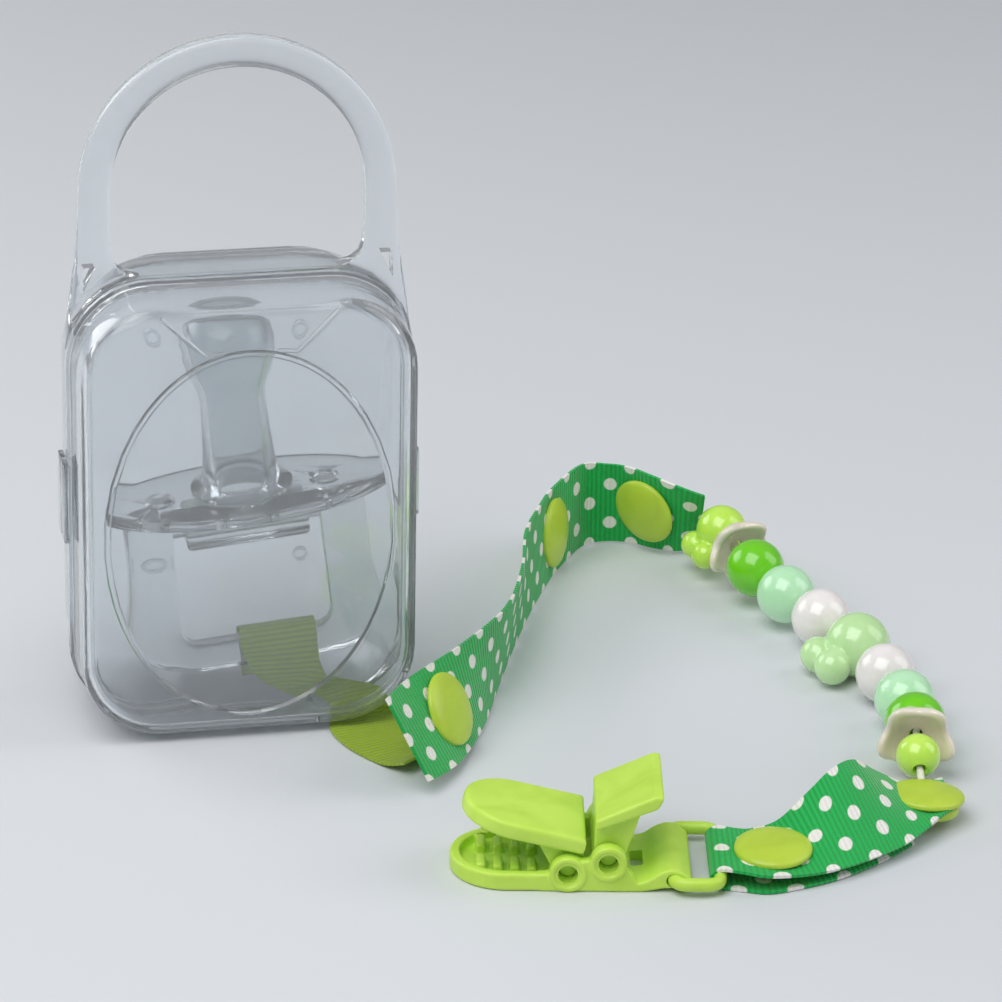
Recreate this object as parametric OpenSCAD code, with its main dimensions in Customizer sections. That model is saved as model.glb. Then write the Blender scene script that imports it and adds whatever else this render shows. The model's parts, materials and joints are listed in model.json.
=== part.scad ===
// Baby pacifier in a snap-shut carry case, with its loop ribbon, beaded tether and garment clip.
// The origin is at the bottom centre of the case: +X right, +Y to the back, +Z up.

/* [Case] */
// Width of the case without its rim
case_w = 57; // [54:1:62]
// Height of the case
case_h = 78.4; // [76:0.2:82]
// Depth of the case, front ridge to back
case_d = 29.4; // [29:0.2:34]
// Wall thickness of the moulded shells
case_wall = 1.2; // [1:0.1:1.6]
// Corner radius of the case
case_r = 13.5; // [11:0.5:15]
// Radius of the carry handle's arch
arch_r = 26.4; // [25:0.2:27]

/* [Pacifier] */
// Width of the shield
shield_w = 48.6; // [44:0.2:50]
// Depth of the shield
shield_d = 24.6; // [22:0.2:25]
// Radius of the teat's bulb
bulb_r = 8.1; // [7:0.1:9]
// Lean of the pacifier in its case
pacifier_lean = -5.5; // [-7:0.5:-3]

/* [Tether] */
// Thickness of every ribbon
ribbon_t = 0.5; // [0.4:0.05:0.6]
// Diameter of a snap's cap
snap_d = 12.6; // [12:0.1:13]
// Radius of a round bead
bead_r = 5.2; // [4.8:0.1:5.3]
// Radius of the bore through each bead
bead_bore = 1; // [0.9:0.1:1.2]
// Diameter of the bead cord
cord_d = 1.2; // [1:0.1:1.4]

/* [Clip] */
// Width of the clip
clip_w = 18; // [17:0.5:19]
// Radius of the two hinge pins
pin_r = 1.5; // [1.4:0.05:1.6]
// Radius of the bail's wire
bail_r = 1.1; // [1:0.05:1.2]

/* [Hidden] */
$fn = 48;
running_gap = 0.06;

// Case planes: the shells meet at parting_y, and the front shell stands clear of the floor
parting_y = -1.75;
shell_gap = 0.15;
front_y = -case_d / 2;
back_y = case_d / 2;
ridge_h = 0.7;
lid_lift = 1;
rim = 0.6;
rim_t = 1.3;
hinge_x = -30.1;
hinge_z = 41;

clear_plastic = [0.8, 0.84, 0.88, 0.5];
lime = [0.68, 0.8, 0.25];
green = [0.02, 0.72, 0.31];
ivory = [0.9, 0.86, 0.78];
mint = [0.6, 0.88, 0.7];
bright_green = [0.4, 0.8, 0.08];
pale_green = [0.66, 0.87, 0.56];

// ---- shared shapes ----
module rounded_rect(w, h, r, z0) {
    translate([0, z0 + h / 2]) {
        square([w - 2 * r, h], center = true);
        square([w, h - 2 * r], center = true);
        for (x = [-1, 1], z = [-1, 1])
            translate([x * (w / 2 - r), z * (h / 2 - r)]) circle(r);
    }
}

// Extrudes an X-Z outline from y0 to y1
module between_y(y0, y1) {
    translate([0, y1, 0]) rotate([90, 0, 0]) linear_extrude(y1 - y0) children();
}

function oval(rx, ry, steps = 64) = [for (k = [0:steps - 1]) [rx * cos(360 * k / steps), ry * sin(360 * k / steps)]];

function unit(v) = v / norm(v);

// Catmull-Rom curve through points p at parameter t, counted in points
function curve(p, t) =
    let (n = len(p), k = min(floor(t), n - 2), f = t - k,
         a = p[max(k - 1, 0)], b = p[k], c = p[k + 1], d = p[min(k + 2, n - 1)])
    0.5 * (2 * b + (c - a) * f + (2 * a - 5 * b + 4 * c - d) * f * f + (3 * b - a - 3 * c + d) * f * f * f);

function slope(p, t) = unit(curve(p, min(t + 0.05, len(p) - 1)) - curve(p, max(t - 0.05, 0)));

// Normal of a ribbon whose two edges run through points a and b
function ribbon_normal(a, b, t) =
    unit(cross(slope(a, t) + slope(b, t), curve(b, t) - curve(a, t)));

// A ribbon of even thickness between two edge curves
module ribbon(a, b, steps) {
    n = (len(a) - 1) * steps;
    rows = [for (k = [0:n])
        let (t = k / steps, o = ribbon_normal(a, b, t) * ribbon_t / 2, p = curve(a, t), q = curve(b, t))
        each [p - o, q - o, q + o, p + o]];
    sides = [for (k = [0:n - 1], s = [0:3])
        let (i = 4 * k + s, j = 4 * k + (s + 1) % 4)
        each [[i, i + 4, j], [j, i + 4, j + 4]]];
    caps = [[0, 1, 2], [0, 2, 3], [4 * n, 4 * n + 2, 4 * n + 1], [4 * n, 4 * n + 3, 4 * n + 2]];
    polyhedron(rows, concat(sides, caps), convexity = 6);
}

// Puts children on a ribbon at t, w of the way from edge a to edge b, with +Z along the ribbon's normal
module on_ribbon(a, b, t, w = 0.5) {
    z = ribbon_normal(a, b, t);
    x = unit(curve(b, t) - curve(a, t));
    y = cross(z, x);
    p = curve(a, t) * (1 - w) + curve(b, t) * w;
    multmatrix([[x[0], y[0], z[0], p[0]], [x[1], y[1], z[1], p[1]], [x[2], y[2], z[2], p[2]], [0, 0, 0, 1]])
        children();
}

// ---- case ----
module shell_walls(y0, y1, z0, h, open_low) {
    difference() {
        between_y(y0, y1) rounded_rect(case_w, h, case_r, z0);
        between_y(open_low ? y0 - 1 : y0 + case_wall, open_low ? y1 - case_wall : y1 + 1)
            rounded_rect(case_w - 2 * case_wall, h - 2 * case_wall, case_r - case_wall, z0 + case_wall);
    }
}

module rim_ring(y0, z0, h) {
    difference() {
        between_y(y0, y0 + rim_t) rounded_rect(case_w + 2 * rim, h, case_r + rim, z0);
        between_y(y0 - 1, y0 + rim_t + 1)
            rounded_rect(case_w - 2 * case_wall, h - 2 * case_wall, case_r - case_wall, z0 + case_wall);
    }
}

module back_shell() {
    mark_x = 12.8;
    mark_z = [21.6, 63.3];
    color(clear_plastic) {
        shell_walls(parting_y + shell_gap, back_y, 0, case_h, true);
        rim_ring(parting_y + shell_gap, 0, case_h + 0.5);
        for (x = [-mark_x, mark_x], z = mark_z)
            translate([x, back_y - case_wall, z]) rotate([90, 0, 0]) difference() {
                cylinder(h = 0.6, r = 1.35);
                translate([0, 0, -1]) cylinder(h = 3, r = 0.75);
            }
    }
}

module front_shell() {
    oval_z = 37;
    oval_rx = 24.7;
    oval_rz = 33;
    h = case_h - lid_lift - 0.2;
    y1 = parting_y - shell_gap;
    // gap in the lower right corner that the loop ribbon leaves by
    gap_x = [12, 27];
    gap_y = -8.4;
    color(clear_plastic) difference() {
        union() {
            shell_walls(front_y + ridge_h, y1, lid_lift, h, false);
            rim_ring(y1 - rim_t, lid_lift, h + 0.5);
            between_y(front_y, front_y + ridge_h + 0.1) translate([0, oval_z]) difference() {
                polygon(oval(oval_rx, oval_rz));
                polygon(oval(oval_rx - 1, oval_rz - 1));
            }
        }
        translate([gap_x[0], gap_y, -1]) cube([gap_x[1] - gap_x[0], 10, 10]);
    }
}

module hinge_leaf(y0, y1) {
    leaf_h = 14;
    color(clear_plastic) translate([hinge_x, y0, hinge_z - leaf_h / 2])
        cube([-hinge_x - case_w / 2 - rim, y1 - y0, leaf_h]);
}

module back_hinge_leaf() {
    hinge_leaf(parting_y + shell_gap, 2.2);
}

module front_hinge_leaf() {
    hinge_leaf(-5.7, parting_y - shell_gap);
}

// Finger tab on the side of the front shell opposite the hinge
module latch_tab() {
    tab_h = 12;
    color(clear_plastic) translate([case_w / 2 + rim, parting_y - shell_gap - 3, hinge_z - tab_h / 2])
        cube([-hinge_x - case_w / 2 - rim, 3, tab_h]);
}

module carry_handle() {
    arch_z = 93;
    band = 5.1;
    foot_z = 66;
    foot_x = 28.7;
    leg_x = 22.4;
    depth = 3.2;
    color(clear_plastic) between_y(parting_y + shell_gap, parting_y + shell_gap + depth) difference() {
        union() {
            translate([0, arch_z]) circle(arch_r);
            polygon([[-arch_r, arch_z], [arch_r, arch_z], [foot_x, foot_z], [-foot_x, foot_z]]);
        }
        translate([0, arch_z]) circle(arch_r - band);
        polygon([[-arch_r + band, arch_z], [arch_r - band, arch_z], [leg_x, foot_z], [-leg_x, foot_z]]);
        rounded_rect(case_w + 2 * rim, case_h + 0.5, case_r + rim, 0);
        // small window in the web of each leg
        for (s = [-1, 1]) polygon([[s * 24, 80.5], [s * 25.6, 80.5], [s * 25.8, 76.8]]);
    }
}

// ---- pacifier ----
shield_z = 38;
shield_x = 0.8;
shield_t = 2.2;
// The ring hangs from two stubs in the hub
ring_axis_z = -4;
ring_stub_r = 1.2;

module in_pacifier() {
    translate([shield_x, 0, shield_z]) rotate([0, pacifier_lean, 0]) children();
}

module shield() {
    vent_x = 14;
    vent_r = 2;
    neck_r = 5;
    color(clear_plastic) in_pacifier() difference() {
        linear_extrude(shield_t) polygon(oval(shield_w / 2, shield_d / 2));
        for (x = [-vent_x, vent_x]) translate([x, 0, -1]) cylinder(h = shield_t + 2, r = vent_r);
        translate([0, 0, -1]) cylinder(h = shield_t + 2, r = neck_r);
    }
}

module teat() {
    bulb_z = 26.6;
    neck_r = 5.6;
    collar_r = 8.6;
    wall = 1.2;
    color([0.9, 0.92, 0.93, 0.5]) in_pacifier() translate([0, 0, shield_t + 0.05]) rotate_extrude()
        difference() {
            union() {
                square([collar_r, 1]);
                square([6.4, 4]);
                square([neck_r, 20]);
                intersection() {
                    translate([0, bulb_z - shield_t]) circle(bulb_r);
                    translate([0, 10]) square([bulb_r + 1, 30]);
                }
            }
            translate([-20, -20]) square([20, 80]);
            translate([0, -1]) square([neck_r - wall, 20]);
            intersection() {
                translate([0, bulb_z - shield_t]) circle(bulb_r - wall);
                square([bulb_r, 40]);
            }
        }
}

module teat_hub() {
    hub_x = 10.5;
    hub_d = 6.4;
    color(clear_plastic) in_pacifier() difference() {
        union() {
            translate([-hub_x, -hub_d / 2, ring_axis_z - 3]) cube([2 * hub_x, hub_d, -ring_axis_z + 2.9]);
            translate([0, 0, -0.2]) cylinder(h = shield_t + 0.2, r = 4.9);
        }
        translate([-20, 0, ring_axis_z]) rotate([0, 90, 0]) cylinder(h = 40, r = ring_stub_r + running_gap);
    }
}

module ring_handle() {
    ring_w = 41;
    ring_low = -30;
    bar = 5;
    leg = 8;
    ring_t = 3.6;
    top = ring_axis_z + 2.4;
    color(clear_plastic) in_pacifier() {
        between_y(-ring_t / 2, ring_t / 2) difference() {
            rounded_rect(ring_w, top - ring_low, 2.4, ring_low);
            // bottom corners are rounded off
            for (s = [-1, 1]) difference() {
                translate([s * ring_w / 2 - 11, ring_low - 1]) square([22, 12]);
                translate([s * (ring_w / 2 - 11), ring_low + 11]) circle(11);
                translate([s * (ring_w / 2 - 11) - (s > 0 ? 22 : 0), ring_low]) square([22, 12]);
            }
            translate([0, ring_low + bar + 6]) {
                square([ring_w - 2 * leg, 12], center = true);
                translate([0, 10]) square([ring_w - 2 * leg, 40 - 12], center = true);
            }
        }
        for (s = [-1, 1]) translate([s * (ring_w / 2 - leg + 0.5), 0, ring_axis_z])
            rotate([0, -s * 90, 0]) cylinder(h = 7, r = ring_stub_r);
    }
}

// ---- ribbons: each is a list of points along either edge ----
loop_a = [[1, 2.9, 4.2], [0.5, 2.9, 8.6], [0, 2.6, 12.4], [0, 1.4, 13.9], [0, -1.4, 13.9], [0, -2.6, 12.4],
    [1.5, -3.4, 8], [5, -4, 4.8], [10, -4.6, 3.4], [14.3, -5.5, 1.8], [14.6, -7.4, 0.5], [14.2, -10, 0.4],
    [13.5, -15, 0.4], [15.5, -22, 0.4], [19.5, -29, 0.6], [22.5, -33.5, 2.4]];
loop_b = [[12.6, 2.9, 5], [12.8, 2.9, 9.4], [13, 2.6, 13.4], [13, 1.4, 15], [13, -1.4, 15], [13, -2.6, 13.4],
    [13.5, -3.4, 8], [15, -4, 5.4], [19, -4, 4.6], [24, -5, 3.6], [25.4, -7, 1.4], [25.6, -9.4, 0.5],
    [25.6, -13, 0.4], [25.8, -19, 0.4], [27.6, -25, 0.6], [29.4, -28, 2.6]];

upper_a = [[25, -42, 3], [31.5, -34, 2], [38.4, -19.5, 1], [44.4, -3, 0.5], [50.6, 13.4, 0.5], [56.8, 28.3, 0.5],
    [62.3, 40.1, 0.5], [66, 47, 0.5], [72.4, 56.4, 0.5], [77.3, 58.4, 0.5], [82, 57, 0.5], [86, 53.5, 0.5],
    [90, 51, 0.8], [93.4, 51.4, 1.6]];
upper_b = [[18.5, -38, 16.6], [24, -29.6, 16.4], [35, -18, 16.4], [45.6, -4, 16.4], [52, 12.6, 16.4],
    [56, 28.4, 16.4], [61.4, 40.6, 16.4], [65, 47.4, 16.4], [72.4, 57.2, 16.4], [77, 56.8, 16.4],
    [80.8, 54.6, 16.4], [84, 50.4, 16.2], [89.2, 46, 15], [93, 46, 13.4]];

// The lower strap is doubled: out along the top, round the bail's bar and back underneath
lower_a = [[107.6, -68.2, 4.2], [104.4, -70.8, 4], [100.4, -74.2, 3.2], [96, -77.4, 2.5], [90.5, -80.6, 2.4],
    [84.5, -83.4, 2.4], [78.5, -85.2, 2.6], [71.5, -86.2, 3.3], [67.5, -84.6, 3.6], [64.3, -83.1, 3.5],
    [62.8, -82.8, 2], [64.3, -83.1, 0.5], [68, -84.6, 0.4], [72, -86, 0.4], [78.5, -84.8, 0.4], [84, -83, 0.4],
    [89, -80.4, 0.4], [93, -77.9, 0.4], [96.4, -75.4, 0.4], [99.2, -73.2, 0.5]];
lower_b = [[109, -54.8, 2.8], [102.4, -57, 3.4], [96, -59.6, 7.4], [91, -63.4, 11.6], [86.4, -67.2, 12.2],
    [81.8, -69.4, 9.2], [77, -70, 5], [72.5, -70, 3.8], [70, -69, 3.6], [67.3, -67.4, 3.5], [65.8, -67.1, 2],
    [67.3, -67.4, 0.5], [70.5, -69.3, 0.8], [73, -70.4, 1], [77.4, -69.8, 1.8], [81.2, -69.2, 5.2],
    [84.4, -67.2, 8.8], [87.2, -65.2, 9.9], [89.6, -63.2, 9.5], [92.2, -61.4, 7.8]];

module loop_ribbon() {
    color(lime) ribbon(loop_a, loop_b, 3);
}

module upper_strap() {
    color(green) ribbon(upper_a, upper_b, 3);
}

module lower_strap() {
    color(green) ribbon(lower_a, lower_b, 3);
}

// ---- snaps: a domed cap on the face, a socket behind ----
cap_h = 1.9;
socket_h = 1.8;
post_r = 1.6;

module cap_shape() {
    dome_r = (pow(snap_d / 2, 2) + pow(cap_h - 0.7, 2)) / (2 * (cap_h - 0.7));
    translate([0, 0, ribbon_t / 2]) {
        cylinder(h = 0.7, d = snap_d);
        translate([0, 0, 0.7]) intersection() {
            translate([0, 0, cap_h - 0.7 - dome_r]) sphere(dome_r, $fn = 96);
            cylinder(h = cap_h, d = snap_d);
        }
    }
    translate([0, 0, -ribbon_t / 2 - 1]) cylinder(h = ribbon_t + 1.2, r = post_r);
}

module socket_shape() {
    translate([0, 0, -ribbon_t / 2 - socket_h]) difference() {
        cylinder(h = socket_h, d = snap_d - 1.6);
        translate([0, 0, socket_h - 1.1]) cylinder(h = 2, r = post_r + 0.05);
        translate([0, 0, -1]) cylinder(h = 1.6, r = 3);
    }
}

// Which strap carries each snap, where along it, how far across it, and which way its cap faces
snap_t = [1.35, 6.75, 10.7, 6.6, 0.95];
snap_w = [0.5, 0.5, 0.5, 0.5, 0.5];

module at_snap(k) {
    upper = k < 3;
    on_ribbon(upper ? upper_a : lower_a, upper ? upper_b : lower_b, snap_t[k], snap_w[k])
        rotate([upper ? 0 : 180, 0, 0]) children();
}

module snap_cap(k) {
    color(lime) at_snap(k) cap_shape();
}

module snap_socket(k) {
    color(lime) at_snap(k) socket_shape();
}

// ---- beads ----
// Route of the bead cord, from the upper strap's end to the lower strap's end
cord_route = [[92.4, 49, 8.4], [94, 46, 8.6], [95, 42, 8.5], [96.4, 34, 7.9], [98, 25, 7], [101.4, 13.2, 6.3],
    [105, 3.4, 5.9], [108, -8.2, 5.9], [109.4, -20.2, 5.7], [109.6, -30.8, 5.7], [108.4, -40.4, 6.3],
    [106.6, -47, 7.1], [105.6, -51.6, 6.3], [104.6, -57.8, 3.9]];
cord_steps = 3;

// Where the centre of each bead sits on the route, counted in route points
bead_t = [2.1, 2.98, 3.86, 4.78, 5.79, 6.86, 7.87, 8.86, 9.94, 11.01, 12.11];

module bead_cord() {
    sides = 8;
    n = (len(cord_route) - 1) * cord_steps;
    rings = [for (k = [0:n])
        let (t = k / cord_steps, d = slope(cord_route, t), x = unit(cross(d, [0, 0, 1])), y = cross(x, d))
        each [for (s = [0:sides - 1])
            curve(cord_route, t) + (x * cos(360 * s / sides) + y * sin(360 * s / sides)) * cord_d / 2]];
    walls = [for (k = [0:n - 1], s = [0:sides - 1])
        let (i = sides * k + s, j = sides * k + (s + 1) % sides)
        each [[i, j, i + sides], [j, j + sides, i + sides]]];
    ends = [[for (s = [sides - 1:-1:0]) s], [for (s = [0:sides - 1]) n * sides + s]];
    color("white") polyhedron(rings, concat(walls, ends), convexity = 10);
}

// Puts a bead on the cord with its bore along local Z and its marked side along local X
module at_bead(k) {
    z = slope(cord_route, bead_t[k]);
    y = unit(cross([0, 0, 1], z));
    x = cross(y, z);
    p = curve(cord_route, bead_t[k]);
    multmatrix([[x[0], y[0], z[0], p[0]], [x[1], y[1], z[1], p[1]], [x[2], y[2], z[2], p[2]], [0, 0, 0, 1]])
        difference() {
            children();
            translate([0, 0, -10]) cylinder(h = 20, r = bead_bore);
        }
}

module round_bead(k, r, tint) {
    color(tint) at_bead(k) difference() {
        sphere(r);
        for (s = [-1, 1]) translate([0, 0, s * (r + 4.75)]) cube([20, 20, 10], center = true);
    }
}

// A head with two ears that stand out on one side
module bear_bead(k, r, turn, tint) {
    ear_r = r * 0.56;
    ear_z = r * 0.48;
    ear_x = r * 1.15;
    color(tint) at_bead(k) rotate([0, 0, turn]) {
        difference() {
            sphere(r);
            for (s = [-1, 1]) translate([0, 0, s * (r + 4.7)]) cube([20, 20, 10], center = true);
        }
        for (s = [-1, 1]) translate([ear_x, 0, s * ear_z]) sphere(ear_r);
    }
}

// Five round petals about a short barrel
module flower_bead(k, r, tint) {
    petal_r = 1.5;
    color(tint) at_bead(k) {
        cylinder(h = 1.6, r = r - petal_r, center = true);
        for (a = [0:72:359]) rotate([0, 0, a]) translate([r - petal_r, 0, 0]) sphere(petal_r);
    }
}

// ---- clip: u runs from nose to tail, v across, w up ----
clip_x = 23.5;
clip_y = -67;
clip_turn = -11;
ear_t = 2;
jaw_u = 18.8;
jaw_w = 3;
lever_u = 25.2;
lever_w = 4.9;
bail_u = 35.6;
bail_w = 2.1;
bail_l = 7.5;

module in_clip() {
    translate([clip_x, clip_y, 0]) rotate([0, 0, clip_turn]) children();
}

// Extrudes a u-w outline from v0 to v1
module between_v(v0, v1) {
    translate([0, v1, 0]) rotate([90, 0, 0]) linear_extrude(v1 - v0) children();
}

// Plan of a plate with a round nose at u0 and a square end at u1
module nose_plan(u0, u1, w) {
    translate([u0 + w / 2, 0]) circle(w / 2);
    translate([u0 + w / 2, -w / 2]) square([u1 - u0 - w / 2, w]);
}

module clip_base() {
    ear_r = 3;
    half = clip_w / 2;
    rim_h = 3;
    floor_h = 1.6;
    color(lime) in_clip() difference() {
        union() {
            difference() {
                linear_extrude(rim_h) nose_plan(0, 17, clip_w);
                translate([0, 0, floor_h]) linear_extrude(5) nose_plan(1.6, 20, clip_w - 3.2);
            }
            translate([16, -half, 0]) cube([14.7, clip_w, floor_h]);
            // teeth
            for (u = [4.4:2.6:12.3])
                between_v(-half + 3.4, half - 3.4) translate([u, floor_h])
                    polygon([[0, -0.1], [1.9, -0.1], [0.95, 1.7]]);
            // ears
            for (v = [-half, half - ear_t]) between_v(v, v + ear_t) {
                translate([jaw_u, jaw_w]) circle(ear_r);
                translate([lever_u, lever_w]) circle(ear_r);
                polygon([[14, 0], [30.7, 0], [28.6, 3.4], [lever_u, lever_w + 1], [jaw_u, jaw_w + 2], [14, 3]]);
            }
            // tail with the bail's barrel
            between_v(-half, half) {
                polygon([[28, 0.1], [30.7, 0], [34.4, 0.8], [bail_u, bail_w + 1.9], [33, 3.4], [30.6, 1.7], [28, 1.6]]);
                translate([bail_u, bail_w]) circle(1.9);
                polygon([[bail_u, bail_w + 1.9], [bail_u, bail_w], [38.4, 0.8], [38.4, 2.2]]);
            }
        }
        for (p = [[jaw_u, jaw_w], [lever_u, lever_w]])
            translate([p[0], -20, p[1]]) rotate([-90, 0, 0]) cylinder(h = 40, r = pin_r);
        translate([bail_u, -20, bail_w]) rotate([-90, 0, 0]) cylinder(h = 40, r = bail_r + running_gap);
        translate([29, -2.6, -1]) cube([2, 5.2, 6]);
        // wells that the jaw's lugs dip into
        for (s = [-1, 1]) translate([jaw_u - 3, s * (half - 3.3) - 1.3, -1]) cube([6, 2.6, rim_h]);
    }
}

module clip_pin(u, w) {
    pin_l = clip_w - 2.6;
    color(lime) in_clip() translate([u, -pin_l / 2, w]) rotate([-90, 0, 0]) cylinder(h = pin_l, r = pin_r);
}

module jaw_pin() {
    clip_pin(jaw_u, jaw_w);
}

module lever_pin() {
    clip_pin(lever_u, lever_w);
}

module clip_jaw() {
    slope_a = 13;
    plate_t = 2.2;
    rear_u = 21.8;
    rear_w = 8.8;
    lug_v = clip_w / 2 - ear_t - 0.3;
    color(lime) in_clip() difference() {
        union() {
            // plate, raised at the nose
            translate([rear_u, 0, rear_w]) rotate([0, slope_a, 0]) translate([-20, 0, -plate_t]) {
                linear_extrude(plate_t) nose_plan(0, 20, clip_w - 1);
                for (u = [3.4:2.6:11.3])
                    between_v(-5, 5) translate([u, 0.1]) polygon([[0, 0], [1.9, 0], [0.95, -1.5]]);
            }
            // lugs that hold the pin
            for (s = [-1, 1]) between_v(s * (lug_v - 1) - 1, s * (lug_v - 1) + 1) {
                translate([jaw_u, jaw_w]) circle(2.5);
                polygon([[jaw_u - 2.5, jaw_w], [jaw_u + 2.5, jaw_w], [rear_u - 0.2, rear_w - 1.6], [13, rear_w + 0.2]]);
            }
        }
        translate([jaw_u, -20, jaw_w]) rotate([-90, 0, 0]) cylinder(h = 40, r = pin_r + running_gap);
    }
}

module clip_lever() {
    lug_v = clip_w / 2 - ear_t - 0.3;
    color(lime) in_clip() difference() {
        union() {
            // thumb plate
            between_v(-clip_w / 2 + 0.5, clip_w / 2 - 0.5)
                polygon([[23, 12.2], [23.2, 10.4], [33, 14.2], [34, 16.4], [32.6, 16.6]]);
            // web down to the hub
            between_v(-lug_v, lug_v) {
                translate([lever_u, lever_w]) circle(2.6);
                polygon([[lever_u - 2.4, lever_w + 1], [lever_u + 2.6, lever_w], [30.6, 13.6], [23.1, 11.2]]);
            }
        }
        translate([lever_u, -20, lever_w]) rotate([-90, 0, 0]) cylinder(h = 40, r = pin_r + running_gap);
    }
}

// Rectangular wire loop: its rod turns in the tail's barrel, its bar carries the lower strap
module clip_bail() {
    half = clip_w / 2 + 1.3;
    color(lime) in_clip() for (u = [bail_u, bail_u + bail_l]) {
        translate([u, -half, bail_w]) rotate([-90, 0, 0]) cylinder(h = 2 * half, r = bail_r);
        for (s = [-1, 1]) {
            translate([u, s * half, bail_w]) sphere(bail_r);
            translate([bail_u, s * half, bail_w]) rotate([0, 90, 0]) cylinder(h = bail_l, r = bail_r);
        }
    }
}

back_shell();
back_hinge_leaf();
carry_handle();
front_shell();
front_hinge_leaf();
latch_tab();
shield();
teat();
teat_hub();
ring_handle();
loop_ribbon();
upper_strap();
lower_strap();
snap_cap(0);  // snap_cap_1
snap_cap(1);  // snap_cap_2
snap_cap(2);  // snap_cap_3
snap_cap(3);  // snap_cap_4
snap_cap(4);  // snap_cap_5
snap_socket(0);  // snap_socket_1
snap_socket(1);  // snap_socket_2
snap_socket(2);  // snap_socket_3
snap_socket(3);  // snap_socket_4
snap_socket(4);  // snap_socket_5
bead_cord();
bear_bead(0, 4.6, -50, lime);  // bear_bead_1
flower_bead(1, 6.6, ivory);  // flower_bead_2
round_bead(2, bead_r, bright_green);  // round_bead_3
round_bead(3, bead_r, mint);  // round_bead_4
round_bead(4, bead_r, "white");  // round_bead_5
bear_bead(5, 5.7, -72, pale_green);  // bear_bead_6
round_bead(6, bead_r, "white");  // round_bead_7
round_bead(7, bead_r, mint);  // round_bead_8
round_bead(8, bead_r, bright_green);  // round_bead_9
flower_bead(9, 6.9, ivory);  // flower_bead_10
round_bead(10, 3.7, lime);  // round_bead_11
clip_base();
jaw_pin();
lever_pin();
clip_jaw();
clip_lever();
clip_bail();
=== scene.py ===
import json
import math

import bmesh
import bpy
from mathutils import Matrix, Vector


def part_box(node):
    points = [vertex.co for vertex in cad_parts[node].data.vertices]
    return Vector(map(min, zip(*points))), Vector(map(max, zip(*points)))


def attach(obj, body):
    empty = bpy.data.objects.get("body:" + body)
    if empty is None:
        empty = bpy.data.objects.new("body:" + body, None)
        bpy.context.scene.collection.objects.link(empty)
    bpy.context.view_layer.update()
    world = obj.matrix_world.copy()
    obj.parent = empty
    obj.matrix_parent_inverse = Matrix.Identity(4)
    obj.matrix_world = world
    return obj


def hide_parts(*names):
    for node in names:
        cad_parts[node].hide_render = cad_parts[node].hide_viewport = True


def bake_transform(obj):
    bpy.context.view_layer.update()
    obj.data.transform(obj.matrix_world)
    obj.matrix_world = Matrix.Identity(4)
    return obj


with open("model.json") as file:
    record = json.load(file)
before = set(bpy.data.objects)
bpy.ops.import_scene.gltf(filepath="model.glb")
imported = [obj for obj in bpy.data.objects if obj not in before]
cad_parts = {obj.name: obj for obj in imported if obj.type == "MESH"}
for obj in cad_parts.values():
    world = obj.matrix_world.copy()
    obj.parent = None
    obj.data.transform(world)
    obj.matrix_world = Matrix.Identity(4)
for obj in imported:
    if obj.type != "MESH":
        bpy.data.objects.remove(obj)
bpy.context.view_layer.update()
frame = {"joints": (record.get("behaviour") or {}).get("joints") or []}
joints = {joint["name"]: joint for joint in frame["joints"]}

# Turns a flat outline, drawn in X-Y, upright: its Y becomes Z and its depth runs towards -Y
upright = Matrix.Rotation(math.radians(90), 4, "X")


def linear(code):
    # sRGB hex to the linear colour that a shader takes
    values = [int(code[k:k + 2], 16) / 255 for k in (1, 3, 5)]
    return [v / 12.92 if v < 0.04045 else ((v + 0.055) / 1.055) ** 2.4 for v in values] + [1]


def addNode(material, kind, settings=None, links=None):
    node = material.node_tree.nodes.new(kind)
    for name, value in (settings or {}).items():
        if isinstance(name, int) or name in node.inputs:
            node.inputs[name].default_value = value
        else:
            setattr(node, name, value)
    for name, socket in (links or {}).items():
        material.node_tree.links.new(socket, node.inputs[name])
    return node


def newMaterial(name, settings):
    material = bpy.data.materials.new(name)
    material.use_nodes = True
    shader = material.node_tree.nodes["Principled BSDF"]
    for key, value in settings.items():
        shader.inputs[key].default_value = value
    return material, shader


# Shared shapes
def along(points, t):
    # Catmull-Rom curve through the points, with t counted in points
    last = len(points) - 1
    k = min(int(t), last - 1)
    f = t - k
    a, b, c, d = (Vector(points[max(0, min(last, k + step))]) for step in (-1, 0, 1, 2))
    return 0.5 * (2 * b + (c - a) * f + (2 * a - 5 * b + 4 * c - d) * f * f + (3 * b - a - 3 * c + d) * f ** 3)


def heading(points, t):
    last = len(points) - 1
    return (along(points, min(t + 0.05, last)) - along(points, max(t - 0.05, 0))).normalized()


def basis(x, y, z, place):
    return Matrix.Translation(place) @ Matrix((x, y, z)).transposed().to_4x4()


def mergeInto(bm, part, turn=None):
    if turn is not None:
        part.transform(turn)
    bmesh.ops.recalc_face_normals(part, faces=part.faces[:])
    mesh = bpy.data.meshes.new("part")
    part.to_mesh(mesh)
    part.free()
    bm.from_mesh(mesh)
    bpy.data.meshes.remove(mesh)


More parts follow.
